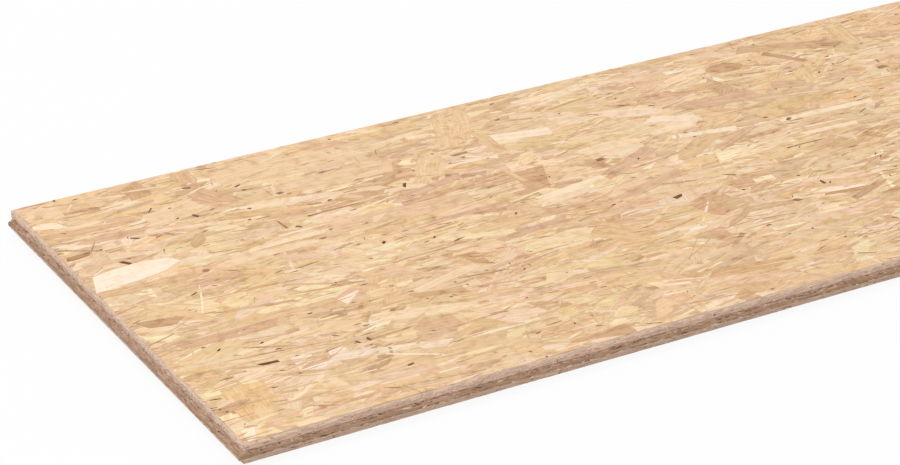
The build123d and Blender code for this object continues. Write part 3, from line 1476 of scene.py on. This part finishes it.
@dataclass(frozen=True)
class FloorFinish:
    """A white floor that shows white and still takes the board's shadow.

    Attributes:
        name: The material's name.
        colour: The floor's own colour, which lights the board's edges from below.
        glow: The share of plain white in what the camera sees.
    """

    name: str = "studio_floor"
    colour: Colour = (0.86, 0.86, 0.86, 1.0)
    glow: float = 0.92

    def material(self) -> bpy.types.Material:
        """Make the material, matt for light and mostly white to the camera."""
        material, sheet = new_material(self.name)
        matt = sheet.add("ShaderNodeBsdfDiffuse", {"Color": self.colour})
        white = sheet.add("ShaderNodeEmission", {"Color": WHITE, "Strength": 1.0})
        seen = sheet.sum("MULTIPLY", looked_at(sheet), self.glow)
        mixed = sheet.add("ShaderNodeMixShader", {0: seen, 1: matt.outputs[0], 2: white.outputs[0]})
        sheet.add("ShaderNodeOutputMaterial", {"Surface": mixed.outputs[0]})
        return material


def looked_at(sheet: NodeSheet) -> Socket:
    """Tell rays from the camera, straight or by way of gloss or glass, from those of the lights."""
    path = sheet.add("ShaderNodeLightPath").outputs
    shiny = sheet.sum("MAXIMUM", path["Is Glossy Ray"], path["Is Transmission Ray"])
    return sheet.sum("MAXIMUM", path["Is Camera Ray"], shiny)


@dataclass(frozen=True)
class Lamp:
    """A square soft lamp.

    Attributes:
        name: Its name.
        place: Where it hangs.
        side: The length of its sides.
        watts: Its power.
    """

    name: str
    place: tuple[float, float, float]
    side: float
    watts: float


@dataclass
class Studio:
    """The floor, the lamps, the white surroundings and the camera.

    Attributes:
        floor_height: How high the floor lies.
        floor_side: The length of its sides.
        surround: The light from all round.
        lamps: The soft lamps.
        camera_place: Where the camera stands.
        camera_azimuth, camera_pitch: Degrees that it looks right of +Y and down.
        focal_pixels: Its focal length in pixels of the photograph.
        picture_width: The photograph's width in pixels.
        sensor_width: The width of the camera's sensor in millimetres.
    """

    floor_height: float
    floor_side: float = 60.0
    surround: float = 0.65
    lamps: tuple[Lamp, ...] = (
        Lamp("key_lamp", (-2.8, 1.8, 6.0), 3.0, 174.0),
        Lamp("fill_lamp", (-2.2, -5.0, 1.6), 3.0, 52.0),
    )
    camera_place: tuple[float, float, float] = (-2.3845, -2.7385, 1.618)
    camera_azimuth: float = 29.68
    camera_pitch: float = 26.76
    focal_pixels: float = 3012.0
    picture_width: float = 900.0
    sensor_width: float = 36.0

    def build(self) -> None:
        """Make everything round the board."""
        self.lay_floor()
        self.light_surroundings()
        for lamp in self.lamps:
            self.hang(lamp)
        self.set_camera()
        bpy.context.scene.view_settings.view_transform = "Standard"

    def lay_floor(self) -> None:
        """Make the floor, one flat square, and mark it as stage."""
        edge = self.floor_side / 2
        flat = edge * np.array([[-1, -1], [1, -1], [1, 1], [-1, 1]])
        mesh = bpy.data.meshes.new("floor")
        PlateMesh.fill(mesh, np.column_stack([flat, np.full(4, self.floor_height)]), np.arange(4)[None])
        mesh.materials.append(FloorFinish().material())
        floor = set_out("floor", mesh)
        floor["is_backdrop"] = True

    def light_surroundings(self) -> None:
        """Make the world white to the camera and softly lit for the board."""
        world = bpy.data.worlds.new("white_surroundings")
        world.use_nodes = True
        sheet = NodeSheet(world.node_tree)
        soft = sheet.add("ShaderNodeBackground", {"Color": WHITE, "Strength": self.surround})
        white = sheet.add("ShaderNodeBackground", {"Color": WHITE, "Strength": 1.0})
        both = {0: looked_at(sheet), 1: soft.outputs[0], 2: white.outputs[0]}
        mixed = sheet.add("ShaderNodeMixShader", both)
        sheet.add("ShaderNodeOutputWorld", {"Surface": mixed.outputs[0]})
        bpy.context.scene.world = world

    @staticmethod
    def hang(lamp: Lamp) -> None:
        """Hang a lamp so that it faces the middle of the board."""
        light = bpy.data.lights.new(lamp.name, "AREA")
        light.size = lamp.side
        light.energy = lamp.watts
        hung = set_out(lamp.name, light)
        hung.location = lamp.place
        hung.rotation_euler = (-Vector(lamp.place)).to_track_quat("-Z", "Y").to_euler()

    def set_camera(self) -> None:
        """Stand the camera where the photograph was taken from."""
        camera = bpy.data.cameras.new("camera")
        camera.sensor_width = self.sensor_width
        camera.lens = self.sensor_width * self.focal_pixels / self.picture_width
        stand = set_out("camera", camera)
        turn = Matrix.Rotation(np.radians(-self.camera_azimuth), 4, "Z")
        nod = Matrix.Rotation(np.radians(90 - self.camera_pitch), 4, "X")
        stand.matrix_world = Matrix.Translation(self.camera_place) @ turn @ nod
        bpy.context.scene.camera = stand


def main() -> None:
    """Dress the board and set it in the studio."""
    logging.basicConfig(level=logging.INFO, format="%(name)s: %(message)s")
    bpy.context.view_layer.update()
    low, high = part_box(NODE)
    board = Board(np.array(low), np.array(high))
    pressed, sawn = WoodGrain(PRESSED_TONES), WoodGrain(SAWN_TONES)

    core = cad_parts[NODE]
    core.data.materials.clear()
    core.data.materials.append(CoreFinish().material(sawn, board))
    log.info("%s: dressed as the sawn core", core.name)

    pieces = PressedFaces(board).build(pressed) + SawnEdges(board).build(sawn)
    for piece in pieces:
        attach(piece, BODY)
        piece.data.calc_loop_triangles()
        log.info("%s: %d triangles", piece.name, len(piece.data.loop_triangles))

    Studio(floor_height=float(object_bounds()[0][2])).build()


if __name__ == "__main__":
    main()
